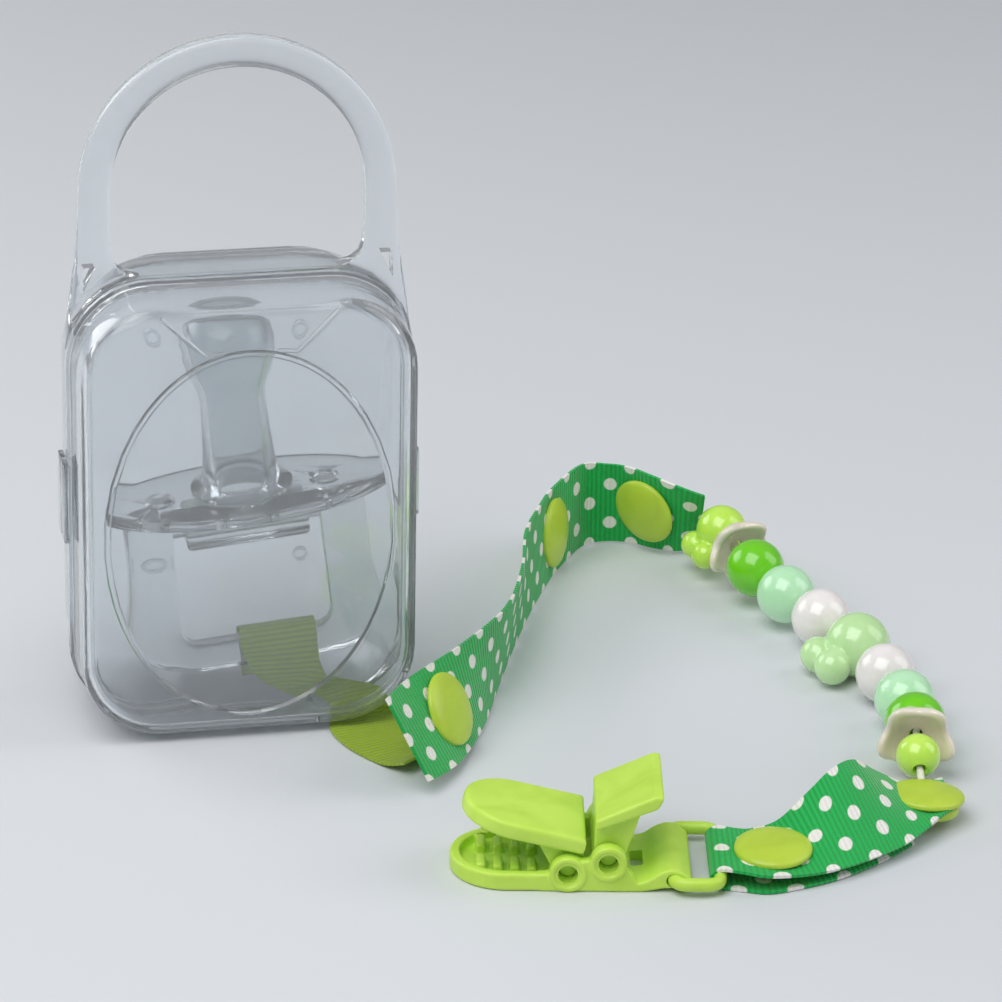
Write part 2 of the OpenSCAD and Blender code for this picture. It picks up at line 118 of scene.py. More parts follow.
def addPlate(bm, outline, low, high, edge=0, turn=None, steps=3):
    # outline: (x, y, corner radius) round a flat shape; edge rounds both of its rims
    part = bmesh.new()
    corners = [part.verts.new((x, y, low)) for x, y, radius in outline]
    part.faces.new(corners)
    for corner, (x, y, radius) in zip(corners, outline):
        if radius:
            bmesh.ops.bevel(part, geom=[corner], offset=radius, affect="VERTICES", segments=8,
                            profile=0.5, material=-1)
    top = bmesh.ops.extrude_face_region(part, geom=part.faces[:])["geom"]
    bmesh.ops.translate(part, vec=(0, 0, high - low), verts=[v for v in top if isinstance(v, bmesh.types.BMVert)])
    bmesh.ops.recalc_face_normals(part, faces=part.faces[:])
    if edge:
        rims = [e for e in part.edges if abs(e.verts[0].co.z - e.verts[1].co.z) < 1e-7]
        bmesh.ops.bevel(part, geom=rims, offset=edge, affect="EDGES", segments=steps, profile=0.5,
                        material=-1)
    mergeInto(bm, part, turn)


def addBlock(bm, low, high, edge, turn=None, steps=3):
    part = bmesh.new()
    bmesh.ops.create_cube(part, size=1)
    size = Vector(high) - Vector(low)
    bmesh.ops.scale(part, vec=size, verts=part.verts[:])
    bmesh.ops.translate(part, vec=(Vector(high) + Vector(low)) / 2, verts=part.verts[:])
    if edge:
        bmesh.ops.bevel(part, geom=part.edges[:], offset=edge, affect="EDGES", segments=steps, profile=0.5,
                        material=-1)
    mergeInto(bm, part, turn)


def addTurned(bm, profile, turn=None, steps=64, closed=False):
    # profile: (radius, height) points, spun about Z
    part = bmesh.new()
    points = [part.verts.new((radius, 0, height)) for radius, height in profile]
    for a, b in zip(points, points[1:]):
        part.edges.new((a, b))
    if closed:
        part.edges.new((points[-1], points[0]))
    bmesh.ops.spin(part, geom=part.verts[:] + part.edges[:], axis=(0, 0, 1), cent=(0, 0, 0),
                   angle=math.tau, steps=steps, use_merge=True)
    bmesh.ops.remove_doubles(part, verts=part.verts[:], dist=1e-6)
    mergeInto(bm, part, turn)


def addBall(bm, radius, place, squash=(1, 1, 1), turn=None):
    part = bmesh.new()
    bmesh.ops.create_uvsphere(part, u_segments=40, v_segments=24, radius=radius)
    bmesh.ops.scale(part, vec=squash, verts=part.verts[:])
    bmesh.ops.translate(part, vec=place, verts=part.verts[:])
    mergeInto(bm, part, turn)


def addRod(bm, radius, start, end, edge=0, turn=None):
    start, end = Vector(start), Vector(end)
    part = bmesh.new()
    bmesh.ops.create_cone(part, cap_ends=True, segments=32, radius1=radius, radius2=radius,
                          depth=(end - start).length)
    if edge:
        rims = [e for e in part.edges if abs(e.verts[0].co.z - e.verts[1].co.z) < 1e-7]
        bmesh.ops.bevel(part, geom=rims, offset=edge, affect="EDGES", segments=3, profile=0.5,
                        material=-1)
    part.transform((end - start).to_track_quat("Z", "Y").to_matrix().to_4x4())
    bmesh.ops.translate(part, vec=(start + end) / 2, verts=part.verts[:])
    mergeInto(bm, part, turn)


def nextRing(bm, edges, place):
    # extrudes a ring of edges, then puts each new point where place says
    made = set(bmesh.ops.extrude_edge_only(bm, edges=edges)["geom"])
    points = [v for v in made if isinstance(v, bmesh.types.BMVert)]
    for vertex in points:
        vertex.co = place(vertex.co)
    return [e for e in made if isinstance(e, bmesh.types.BMEdge) and e.verts[0] in made and e.verts[1] in made]


def capRing(bm, edges):
    bmesh.ops.contextual_create(bm, geom=edges)


def betweenStations(old, new):
    # a station is a band's inner and outer point in X-Z; a vertex keeps its share of the way between them
    (inner, outer), (nextInner, nextOuter) = ([Vector(end) for end in station] for station in (old, new))

    def place(point):
        span = outer - inner
        share = (Vector((point.x, point.z)) - inner).dot(span) / span.length_squared
        moved = nextInner.lerp(nextOuter, share)
        return Vector((moved.x, point.y, moved.y))
    return place


def addBand(bm, stations, depth, edge, turn=None):
    # sweeps a flat bar with rounded edges through the stations; depth is its size along Y
    part = bmesh.new()
    width = (Vector(stations[0][1]) - Vector(stations[0][0])).length
    bmesh.ops.create_grid(part, x_segments=1, y_segments=1, size=0.5)
    bmesh.ops.scale(part, vec=(max(width, 4 * edge), depth, 1), verts=part.verts[:])
    bmesh.ops.bevel(part, geom=part.verts[:], offset=edge, affect="VERTICES", segments=4, profile=0.5, material=-1)
    half = max(width, 4 * edge) / 2
    begin = betweenStations(((-half, 0), (half, 0)), stations[0])
    for vertex in part.verts:
        vertex.co = begin(vertex.co)
    edges = part.edges[:]
    for old, new in zip(stations, stations[1:]):
        edges = nextRing(part, edges, betweenStations(old, new))
    capRing(part, edges)
    mergeInto(bm, part, turn)


def newObject(name, bm):
    mesh = bpy.data.meshes.new(name)
    bm.to_mesh(mesh)
    bm.free()
    piece = bpy.data.objects.new(name, mesh)
    bpy.context.scene.collection.objects.link(piece)
    return piece


def settle(piece):
    # puts the result of the piece's modifiers in its mesh
    graph = bpy.context.evaluated_depsgraph_get()
    graph.update()
    mesh = bpy.data.meshes.new_from_object(piece.evaluated_get(graph))
    piece.modifiers.clear()
    piece.data = mesh


def cutAway(piece, bm):
    cutter = newObject("cutter", bm)
    boolean = piece.modifiers.new("cut", "BOOLEAN")
    boolean.object = cutter
    boolean.operation = "DIFFERENCE"
    boolean.solver = "EXACT"
    boolean.use_self = True
    settle(piece)
    bpy.data.objects.remove(cutter)


def fuse(piece, grain, rounding):
    # joins overlapping shapes in one skin and rounds the corners between them
    remesh = piece.modifiers.new("skin", "REMESH")
    remesh.mode = "VOXEL"
    remesh.voxel_size = grain
    smooth = piece.modifiers.new("rounding", "SMOOTH")
    smooth.factor = 0.5
    smooth.iterations = rounding
    settle(piece)


def finishPiece(piece, material, body, nodes, sharp=35):
    piece.data.materials.clear()
    piece.data.materials.append(material)
    piece.data.shade_smooth()
    if sharp:
        piece.data.set_sharp_from_angle(angle=math.radians(sharp))
    if body:
        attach(piece, body)
    if nodes:
        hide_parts(*nodes)
    return piece


# Camera
cameraView = {"place": (-0.126225, -0.800241, 0.373125), "yaw": 12.0966, "down": 22.4818, "roll": 1.0368,
              "lens": 186.83, "sensor": 36}


def makeCamera():
    yaw, down, roll = (math.radians(cameraView[key]) for key in ("yaw", "down", "roll"))
    forward = Vector((math.sin(yaw) * math.cos(down), math.cos(yaw) * math.cos(down), -math.sin(down)))
    level = Vector((math.cos(yaw), -math.sin(yaw), 0))
    above = level.cross(forward)
    right = level * math.cos(roll) + above * math.sin(roll)
    up = above * math.cos(roll) - level * math.sin(roll)
    data = bpy.data.cameras.new("studioCamera")
    data.lens = cameraView["lens"]
    data.sensor_width = cameraView["sensor"]
    data.clip_start = 0.01
    camera = bpy.data.objects.new("studioCamera", data)
    camera.matrix_world = basis(right, up, -forward, cameraView["place"])
    bpy.context.scene.collection.objects.link(camera)
    bpy.context.scene.camera = camera


makeCamera()

# Bead cord
beadCord = {
    "route": [(0.0924, 0.049, 0.0084), (0.094, 0.046, 0.0086), (0.095, 0.042, 0.0085), (0.0964, 0.034, 0.0079),
              (0.098, 0.025, 0.007), (0.1014, 0.0132, 0.0063), (0.105, 0.0034, 0.0059), (0.108, -0.0082, 0.0059),
              (0.1094, -0.0202, 0.0057), (0.1096, -0.0308, 0.0057), (0.1084, -0.0404, 0.0063),
              (0.1066, -0.047, 0.0071), (0.1056, -0.0516, 0.0063), (0.1046, -0.0578, 0.0039)],
    "diameter": 0.0012, "length": 0.11, "steps": 6}


def waxedCotton():
    # waxed cotton cord: matt, with a fine twist
    material, shader = newMaterial("waxedCottonCord", {
        "Base Color": linear("#ECE7DA"), "Roughness": 0.6, "IOR": 1.5, "Sheen Weight": 0.2})
    place = addNode(material, "ShaderNodeTexCoord")
    twist = addNode(material, "ShaderNodeTexWave", {"Scale": 700, "Distortion": 2, "bands_direction": "DIAGONAL"},
                    {"Vector": place.outputs["Object"]})
    bump = addNode(material, "ShaderNodeBump", {"Strength": 0.5, "Distance": 0.0001},
                   {"Height": twist.outputs["Fac"]})
    material.node_tree.links.new(bump.outputs["Normal"], shader.inputs["Normal"])
    return material


def makeCord():
    curve = bpy.data.curves.new("beadCordTwine", "CURVE")
    curve.dimensions = "3D"
    curve.bevel_depth = beadCord["diameter"] / 2
    curve.bevel_resolution = 3
    curve.use_fill_caps = True
    spline = curve.splines.new("POLY")
    count = (len(beadCord["route"]) - 1) * beadCord["steps"]
    spline.points.add(count)
    for k, point in enumerate(spline.points):
        point.co = (*along(beadCord["route"], k / beadCord["steps"]), 1)
    piece = bpy.data.objects.new("beadCordTwine", curve)
    bpy.context.scene.collection.objects.link(piece)
    curve.materials.append(waxedCotton())
    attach(piece, "case")
    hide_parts("bead_cord")
    print("bead cord made")


makeCord()

# Ribbons
loopRibbon = {
    "edgeA": [(0.001, 0.0029, 0.0042), (0.0005, 0.0029, 0.0086), (0, 0.0026, 0.0124), (0, 0.0014, 0.0139),
              (0, -0.0014, 0.0139), (0, -0.0026, 0.0124), (0.0015, -0.0034, 0.008), (0.005, -0.004, 0.0048),
              (0.01, -0.0046, 0.0034), (0.0143, -0.0055, 0.0018), (0.0146, -0.0074, 0.0005), (0.0142, -0.01, 0.0004),
              (0.0135, -0.015, 0.0004), (0.0155, -0.022, 0.0004), (0.0195, -0.029, 0.0006),
              (0.0225, -0.0335, 0.0024)],
    "edgeB": [(0.0126, 0.0029, 0.005), (0.0128, 0.0029, 0.0094), (0.013, 0.0026, 0.0134), (0.013, 0.0014, 0.015),
              (0.013, -0.0014, 0.015), (0.013, -0.0026, 0.0134), (0.0135, -0.0034, 0.008), (0.015, -0.004, 0.0054),
              (0.019, -0.004, 0.0046), (0.024, -0.005, 0.0036), (0.0254, -0.007, 0.0014), (0.0256, -0.0094, 0.0005),
              (0.0256, -0.013, 0.0004), (0.0258, -0.019, 0.0004), (0.0276, -0.025, 0.0006), (0.0294, -0.028, 0.0026)],
    # the loop goes round the ring's bar; this ribbon is not attached to any body
    "bend": {"start": (0.0065, 0, 0.004), "end": (0.0065, 0, 0.0095)},
    "width": 0.0125, "thickness": 0.0004}

upperStrap = {
    "edgeA": [(0.025, -0.042, 0.003), (0.0315, -0.034, 0.002), (0.0384, -0.0195, 0.001), (0.0444, -0.003, 0.0005),
              (0.0506, 0.0134, 0.0005), (0.0568, 0.0283, 0.0005), (0.0623, 0.0401, 0.0005), (0.066, 0.047, 0.0005),
              (0.0724, 0.0564, 0.0005), (0.0773, 0.0584, 0.0005), (0.082, 0.057, 0.0005), (0.086, 0.0535, 0.0005),
              (0.09, 0.051, 0.0008), (0.0934, 0.0514, 0.0016)],
    "edgeB": [(0.0185, -0.038, 0.0166), (0.024, -0.0296, 0.0164), (0.035, -0.018, 0.0164), (0.0456, -0.004, 0.0164),
              (0.052, 0.0126, 0.0164), (0.056, 0.0284, 0.0164), (0.0614, 0.0406, 0.0164), (0.065, 0.0474, 0.0164),
              (0.0724, 0.0572, 0.0164), (0.077, 0.0568, 0.0164), (0.0808, 0.0546, 0.0164), (0.084, 0.0504, 0.0162),
              (0.0892, 0.046, 0.015), (0.093, 0.046, 0.0134)],
    "width": 0.016, "thickness": 0.0005}

lowerStrap = {
    "edgeA": [(0.1076, -0.0682, 0.0042), (0.1044, -0.0708, 0.004), (0.1004, -0.0742, 0.0032),
              (0.096, -0.0774, 0.0025), (0.0905, -0.0806, 0.0024), (0.0845, -0.0834, 0.0024),
              (0.0785, -0.0852, 0.0026), (0.0715, -0.0862, 0.0033), (0.0675, -0.0846, 0.0036),
              (0.0643, -0.0831, 0.0035), (0.0628, -0.0828, 0.002), (0.0643, -0.0831, 0.0005),
              (0.068, -0.0846, 0.0004), (0.072, -0.086, 0.0004), (0.0785, -0.0848, 0.0004),
              (0.084, -0.083, 0.0004), (0.089, -0.0804, 0.0004), (0.093, -0.0779, 0.0004),
              (0.0964, -0.0754, 0.0004), (0.0992, -0.0732, 0.0005)],
    "edgeB": [(0.109, -0.0548, 0.0028), (0.1024, -0.057, 0.0034), (0.096, -0.0596, 0.0074),
              (0.091, -0.0634, 0.0116), (0.0864, -0.0672, 0.0122), (0.0818, -0.0694, 0.0092),
              (0.077, -0.07, 0.005), (0.0725, -0.07, 0.0038), (0.07, -0.069, 0.0036), (0.0673, -0.0674, 0.0035),
              (0.0658, -0.0671, 0.002), (0.0673, -0.0674, 0.0005), (0.0705, -0.0693, 0.0008),
              (0.073, -0.0704, 0.001), (0.0774, -0.0698, 0.0018), (0.0812, -0.0692, 0.0052),
              (0.0844, -0.0672, 0.0088), (0.0872, -0.0652, 0.0099), (0.0896, -0.0632, 0.0095),
              (0.0922, -0.0614, 0.0078)],
    "width": 0.016, "thickness": 0.0005}

ribbonGrid = {"alongSteps": 6, "acrossSteps": 10}


def ribbonFrame(ribbon, t, across):
    # a ribbon's local axes: X across it, Z out of its face
    a, b = ribbon["edgeA"], ribbon["edgeB"]
    x = (along(b, t) - along(a, t)).normalized()
    z = (heading(a, t) + heading(b, t)).cross(x).normalized()
    return basis(x, z.cross(x), z, along(a, t).lerp(along(b, t), across))


def makeRibbon(name, ribbon, material, node):
    points = len(ribbon["edgeA"]) - 1
    rows = points * ribbonGrid["alongSteps"]
    bm = bmesh.new()
    bmesh.ops.create_grid(bm, x_segments=rows, y_segments=ribbonGrid["acrossSteps"], size=0.5)
    distance = [0]
    for k in range(rows):
        middle = [along(ribbon["edgeA"], (k + s) / ribbonGrid["alongSteps"]).lerp(
            along(ribbon["edgeB"], (k + s) / ribbonGrid["alongSteps"]), 0.5) for s in (0, 1)]
        distance.append(distance[-1] + (middle[1] - middle[0]).length)
    weave = bm.loops.layers.uv.new("weave")
    for face in bm.faces:
        for loop in face.loops:
            row = round((loop.vert.co.x + 0.5) * rows)
            loop[weave].uv = (distance[row], loop.vert.co.y * ribbon["width"])
    for vertex in bm.verts:
        t = (vertex.co.x + 0.5) * points
        vertex.co = along(ribbon["edgeA"], t).lerp(along(ribbon["edgeB"], t), vertex.co.y + 0.5)
    piece = newObject(name, bm)
    thick = piece.modifiers.new("cloth", "SOLIDIFY")
    thick.thickness = ribbon["thickness"]
    thick.offset = 0
    settle(piece)
    finishPiece(piece, material, None if "bend" in ribbon else "case", [node], sharp=50)
    if "bend" in ribbon:
        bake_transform(piece)
    print(name, "is", round(distance[-1] * 1000), "mm long")
    return piece


def grosgrain(name, ground, shade, dots):
    # grosgrain polyester ribbon: round crossways ribs, a soft sheen and, on the straps, printed dots; painted shade
    # darkens the colour in the grooves between the ribs
    weave = {"rib": 0.0009, "yarn": 0.00045, "dotPitch": 0.008, "dotRadius": 0.00122}
    material, shader = newMaterial(name, {
        "Base Color": linear(ground), "Roughness": 0.62, "IOR": 1.55, "Sheen Weight": 0.35,
        "Sheen Roughness": 0.4, "Specular IOR Level": 0.35})
    place = addNode(material, "ShaderNodeUVMap", {"uv_map": "weave"})
    split = addNode(material, "ShaderNodeSeparateXYZ", {}, {"Vector": place.outputs["UV"]})

    def compute(operation, first, second=0.0, third=0.0):
        links = {k: v for k, v in enumerate((first, second, third)) if not isinstance(v, (int, float))}
        values = {k: v for k, v in enumerate((first, second, third)) if isinstance(v, (int, float))}
        return addNode(material, "ShaderNodeMath", {"operation": operation, **values}, links).outputs[0]

    ribs = compute("ABSOLUTE", compute("SINE", compute("MULTIPLY", split.outputs["X"], math.pi / weave["rib"])))
    yarns = compute("ABSOLUTE", compute("SINE", compute("MULTIPLY", split.outputs["Y"], math.pi / weave["yarn"])))
    height = compute("MULTIPLY_ADD", yarns, 0.25, ribs)
    bump = addNode(material, "ShaderNodeBump", {"Strength": 0.8, "Distance": 0.00018}, {"Height": height})
    material.node_tree.links.new(bump.outputs["Normal"], shader.inputs["Normal"])
    tone = addNode(material, "ShaderNodeTexNoise", {"Scale": 90, "Detail": 3},
                   {"Vector": addNode(material, "ShaderNodeTexCoord").outputs["Object"]})
    # colour factor: painted shade puts the shade colour in the grooves between the ribs, mixed with random tone from
    # the noise
    depth = compute("MULTIPLY_ADD", tone.outputs["Fac"], 0.35, compute("MULTIPLY", ribs, 0.6))
    colour = addNode(material, "ShaderNodeMix", {"data_type": "RGBA", 6: linear(shade), 7: linear(ground)},
                     {0: depth}).outputs[2]
    if dots:
        nearest = None
        for offset in (0, 0.5):
            scaled = addNode(material, "ShaderNodeVectorMath", {"operation": "MULTIPLY_ADD",
                             1: [1 / weave["dotPitch"]] * 2 + [0], 2: (offset, offset, 0.5)},
                             {0: place.outputs["UV"]})
            cell = addNode(material, "ShaderNodeVectorMath", {"operation": "FRACTION"}, {0: scaled.outputs[0]})
            centred = addNode(material, "ShaderNodeVectorMath", {"operation": "SUBTRACT", 1: (0.5, 0.5, 0.5)},
                              {0: cell.outputs[0]})
            reach = addNode(material, "ShaderNodeVectorMath", {"operation": "LENGTH"},
                            {0: centred.outputs[0]}).outputs["Value"]
            nearest = reach if nearest is None else compute("MINIMUM", nearest, reach)
        spot = weave["dotRadius"] / weave["dotPitch"]
        inked = addNode(material, "ShaderNodeMapRange",
                        {"From Min": spot * 1.12, "From Max": spot * 0.9, "interpolation_type": "SMOOTHSTEP"},
                        {"Value": nearest}).outputs[0]
        colour = addNode(material, "ShaderNodeMix", {"data_type": "RGBA", 7: linear("#F4F1EA")},
                         {0: inked, 6: colour}).outputs[2]
    material.node_tree.links.new(colour, shader.inputs["Base Color"])
    return material


limeWeave = grosgrain("limeGrosgrain", "#A9C51F", "#7E9A10", False)
dottedWeave = grosgrain("greenDottedGrosgrain", "#0FBE55", "#089A41", True)
makeRibbon("loopRibbonCloth", loopRibbon, limeWeave, "loop_ribbon")
makeRibbon("upperStrapCloth", upperStrap, dottedWeave, "upper_strap")
makeRibbon("lowerStrapCloth", lowerStrap, dottedWeave, "lower_strap")


# Carry case
case = {"width": 0.057, "back": {"height": 0.0784, "middle": 0.0392}, "front": {"height": 0.0772, "middle": 0.0396},
        "corner": 0.0135, "wall": 0.0012, "rim": 0.0006, "cornerSteps": 10, "straightCuts": 9}
oval = {"wide": 0.0247, "tall": 0.033, "middle": 0.037, "pinch": 0.66}


def hazyPolypropylene(name, haze, tint, roughness):
    # clear random-copolymer polypropylene, injection moulded: see-through with a milky bluish haze, and a satin
    # skin with faint flow lines
    material, shader = newMaterial(name, {
        "Base Color": linear(tint), "IOR": 1.49, "Transmission Weight": 1 - haze, "Specular IOR Level": 0.6})
    place = addNode(material, "ShaderNodeTexCoord")
    flow = addNode(material, "ShaderNodeTexNoise", {"Scale": 45, "Detail": 4, "Distortion": 1.5},
                   {"Vector": place.outputs["Object"]})
    satin = addNode(material, "ShaderNodeMapRange",
                    {"From Min": 0.3, "From Max": 0.7, "To Min": roughness * 0.7, "To Max": roughness * 1.4},
                    {"Value": flow.outputs["Fac"]})
    bump = addNode(material, "ShaderNodeBump", {"Strength": 0.12, "Distance": 0.0002},
                   {"Height": flow.outputs["Fac"]})
    material.node_tree.links.new(satin.outputs[0], shader.inputs["Roughness"])
    material.node_tree.links.new(bump.outputs["Normal"], shader.inputs["Normal"])
    return material


casePlastic = hazyPolypropylene("hazyPolypropylene", 0.1, "#F6F9FC", 0.05)


def section(half, inset, y, radius=None):
    return {"width": case["width"] - 2 * inset, "height": case[half]["height"] - 2 * inset,
            "middle": case[half]["middle"], "y": y,
            "radius": case["corner"] - inset if radius is None else radius}


def rimSection(half, y):
    # the rim stands out at both sides and the top, but not under the case
    shape = section(half, -case["rim"], y)
    shape["height"] -= case["rim"]
    shape["middle"] += case["rim"] / 2
    return shape


def firstRing(bm, shape):
    bmesh.ops.create_grid(bm, x_segments=1, y_segments=1, size=0.5)
    bmesh.ops.scale(bm, vec=(shape["width"], shape["height"], 1), verts=bm.verts[:])
    bmesh.ops.bevel(bm, geom=bm.verts[:], offset=shape["radius"], affect="VERTICES",
                    segments=case["cornerSteps"], profile=0.5, material=-1)
    longEdges = [e for e in bm.edges if e.calc_length() > shape["radius"] / 2]
    bmesh.ops.subdivide_edges(bm, edges=longEdges, cuts=case["straightCuts"])
    bm.transform(Matrix.Translation((0, shape["y"], shape["middle"])) @ upright)
    bmesh.ops.delete(bm, geom=bm.faces[:], context="FACES_ONLY")
    return bm.edges[:]


def betweenOutlines(old, new):
    # a point keeps its place on a rounded outline as the outline changes
    def place(point):
        moved = [0, new["y"], 0]
        for axis, span, was, now in ((0, "width", 0, 0), (2, "height", old["middle"], new["middle"])):
            core = old[span] / 2 - old["radius"]
            offset = point[axis] - was
            share = max(-1, min(1, offset / core))
            bend = (offset - share * core) / old["radius"]
            moved[axis] = now + share * (new[span] / 2 - new["radius"]) + bend * new["radius"]
        return Vector(moved)
    return place


def followSections(bm, edges, sections):
    for old, new in zip(sections, sections[1:]):
        edges = nextRing(bm, edges, betweenOutlines(old, new))
    return edges


def makeBackShell():
    seam = -0.0016
    bm = bmesh.new()
    wall = case["wall"]
    start = rimSection("back", seam)
    edges = firstRing(bm, start)
    outside = [start, rimSection("back", -0.0005), section("back", -0.0001, -0.0002),
               section("back", 0, 0.0001), section("back", 0.0002, 0.006, 0.0142),
               section("back", 0.0004, 0.0115, 0.0158), section("back", 0.0007, 0.0135, 0.017),
               section("back", 0.0013, 0.0143, 0.0172), section("back", 0.0024, 0.0147, 0.0172),
               section("back", 0.0032, 0.0147, 0.0172)]
    capRing(bm, followSections(bm, edges, outside))
    inside = [start, section("back", wall - 0.0003, seam), section("back", wall, seam + 0.0003),
              section("back", wall + 0.0002, 0.006, 0.0134), section("back", wall + 0.0004, 0.0112, 0.0148),
              section("back", wall + 0.0007, 0.0127, 0.0158), section("back", wall + 0.0014, 0.0134, 0.016),
              section("back", wall + 0.0022, 0.0135, 0.016)]
    capRing(bm, followSections(bm, edges, inside))
    for x in (-0.0128, 0.0128):
        for z in (0.0216, 0.0633):
            # raised ejector marks inside the back wall
            mark = [(0.0008, 0), (0.0008, 0.0004), (0.00095, 0.00055), (0.0012, 0.00055), (0.00135, 0.0004),
                    (0.00135, 0)]
            addTurned(bm, mark, Matrix.Translation((x, 0.01345, z)) @ upright, 24, closed=True)
    piece = newObject("backShellMoulding", bm)
    return finishPiece(piece, casePlastic, "case", ["back_shell"], 40)


def lidFace(bm, edges, depth, ridge):
    # the front panel: corner facets, the oval ridge with its pinched top, and the low dome inside it
    flat = -0.014 + depth

    def onOval(y, shrink, again=False):
        def place(point):
            rise = (point.z - oval["middle"]) / oval["tall"]
            side = point.x / oval["wide"]
            if not again:
                side *= oval["pinch"] if rise > 0 else 1
            angle = math.atan2(rise, side)
            return Vector((math.cos(angle) * (oval["wide"] - shrink), y,
                           oval["middle"] + math.sin(angle) * (oval["tall"] - shrink)))
        return place

    edges = nextRing(bm, edges, onOval(flat - 0.0001, 0))
    for shrink, height in ((0.0003, ridge), (0.0008, ridge), (0.0012, 0.0001)):
        edges = nextRing(bm, edges, onOval(flat - height, shrink, True))
    for shrink, height in ((0.004, 0.00028), (0.009, 0.00045), (0.015, 0.00056), (0.02, 0.0006)):
        edges = nextRing(bm, edges, onOval(flat - height, shrink, True))
    capRing(bm, edges)


def dipTop(bm):
    # the panel's top edge sags between its two creases
    for vertex in bm.verts:
        if vertex.co.z > 0.07 and vertex.co.y < -0.011:
            share = max(0, min(1, (0.0165 - abs(vertex.co.x)) / 0.004))
            lean = max(0, min(1, (vertex.co.z - 0.0695) / 0.0085))
            vertex.co.y += 0.0009 * share * lean
            vertex.co.z -= 0.0007 * share * lean


def makeFrontShell():
    seam = -0.0019
    bm = bmesh.new()
    wall = case["wall"]
    start = rimSection("front", seam)
    edges = firstRing(bm, start)
    outside = [start, rimSection("front", -0.003), section("front", -0.0001, -0.0033),
               section("front", 0, -0.0036), section("front", 0.0001, -0.008), section("front", 0.0003, -0.0124),
               section("front", 0.0005, -0.0132), section("front", 0.001, -0.0138),
               section("front", 0.0018, -0.014), section("front", 0.0026, -0.014)]
    lidFace(bm, followSections(bm, edges, outside), 0, 0.00065)
    inside = [start, section("front", wall - 0.0003, seam), section("front", wall, seam - 0.0003),
              section("front", wall + 0.0001, -0.008), section("front", wall + 0.0003, -0.0117),
              section("front", wall + 0.0006, -0.0124), section("front", wall + 0.0013, -0.0128),
              section("front", wall + 0.002, -0.0128)]
    lidFace(bm, followSections(bm, edges, inside), wall, 0.0002)
    dipTop(bm)
    bmesh.ops.recalc_face_normals(bm, faces=bm.faces[:])
    for side in (-1, 1):
        # fine ridges where the panel folds from its top edge down to the oval
        addRod(bm, 0.0004, (side * 0.0148, -0.0137, 0.0762), (side * 0.0078, -0.0142, 0.0694), 0.0002)
        addRod(bm, 0.00035, (side * 0.0078, -0.0142, 0.0694), (side * 0.0044, -0.0143, 0.0697), 0.0002)
    piece = newObject("frontShellMoulding", bm)
    notch = bmesh.new()
    addBlock(notch, (0.012, -0.0084, -0.001), (0.027, 0.0016, 0.009), 0.0009)
    cutAway(piece, notch)
    return finishPiece(piece, casePlastic, "lid", ["front_shell"], 40)


def makeHandle():
    # a flat arched band whose feet widen to hug the corners of the rim, with a small window in each foot
    arch = {"middle": 0.093, "radius": 0.0264, "band": 0.0051, "depth": 0.0032, "steps": 40}
    foot = [(0.0672, 0.0289, 0.02902), (0.069, 0.0285, 0.0287), (0.072, 0.0272, 0.0284), (0.075, 0.0248, 0.028),
            (0.077, 0.0222, 0.0277), (0.0785, 0.0187, 0.0275), (0.0792, 0.0165, 0.0274), (0.08, 0.019, 0.0273),
            (0.081, 0.0203, 0.0271), (0.0825, 0.0209, 0.0269), (0.086, 0.0213, 0.0267), (0.0895, 0.0213, 0.0265)]
    inner = arch["radius"] - arch["band"]
    turns = [math.pi * k / arch["steps"] for k in range(arch["steps"] + 1)]
    stations = [((near, z), (far, z)) for z, near, far in foot]
    stations += [tuple((r * math.cos(a), arch["middle"] + r * math.sin(a)) for r in (inner, arch["radius"]))
                 for a in turns]
    stations += [((-near, z), (-far, z)) for z, near, far in reversed(foot)]
    bm = bmesh.new()
    addBand(bm, stations, arch["depth"], 0.0005)
    piece = newObject("carryHandleArch", bm)
    windows = bmesh.new()
    for side in (-1, 1):
        addPlate(windows, [(side * 0.0238, 0.0812, 0.0003), (side * 0.0257, 0.0812, 0.0003),
                           (side * 0.0259, 0.0768, 0.0003)], -0.004, 0.004, 0, upright)
    cutAway(piece, windows)
    return finishPiece(piece, casePlastic, "case", ["carry_handle"], 40)


def makeSmallCaseParts():
    for name, node, body in (("backHingeLeafMoulding", "back_hinge_leaf", "case"),
                             ("frontHingeLeafMoulding", "front_hinge_leaf", "lid"),
                             ("latchTabMoulding", "latch_tab", "lid")):
        bm = bmesh.new()
        low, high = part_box(node)
        addBlock(bm, low, high, 0.00035)
        finishPiece(newObject(name, bm), casePlastic, body, [node])


makeBackShell()
makeFrontShell()
makeHandle()
makeSmallCaseParts()
print("carry case made")

# Pacifier
pacifier = {"place": (0.0008, 0, 0.038), "lean": -5.5, "width": 0.0486, "depth": 0.0246, "thickness": 0.0022,
            "vent": 0.014, "ventRadius": 0.002}
inPacifier = Matrix.Translation(pacifier["place"]) @ Matrix.Rotation(math.radians(pacifier["lean"]), 4, "Y")
pacifierPlastic = hazyPolypropylene("clearPacifierPolypropylene", 0.09, "#F8FAFB", 0.03)


def clearSilicone():
    # liquid silicone rubber from a polished mould: clear, soft gloss, a little greyer than the shield
    material, shader = newMaterial("clearSilicone", {
        "Base Color": linear("#F3F7F8"), "IOR": 1.41, "Transmission Weight": 0.9})
    place = addNode(material, "ShaderNodeTexCoord")
    cloud = addNode(material, "ShaderNodeTexNoise", {"Scale": 160, "Detail": 2},
                    {"Vector": place.outputs["Object"]})
    satin = addNode(material, "ShaderNodeMapRange", {"To Min": 0.05, "To Max": 0.13},
                    {"Value": cloud.outputs["Fac"]})
    material.node_tree.links.new(satin.outputs[0], shader.inputs["Roughness"])
    return material


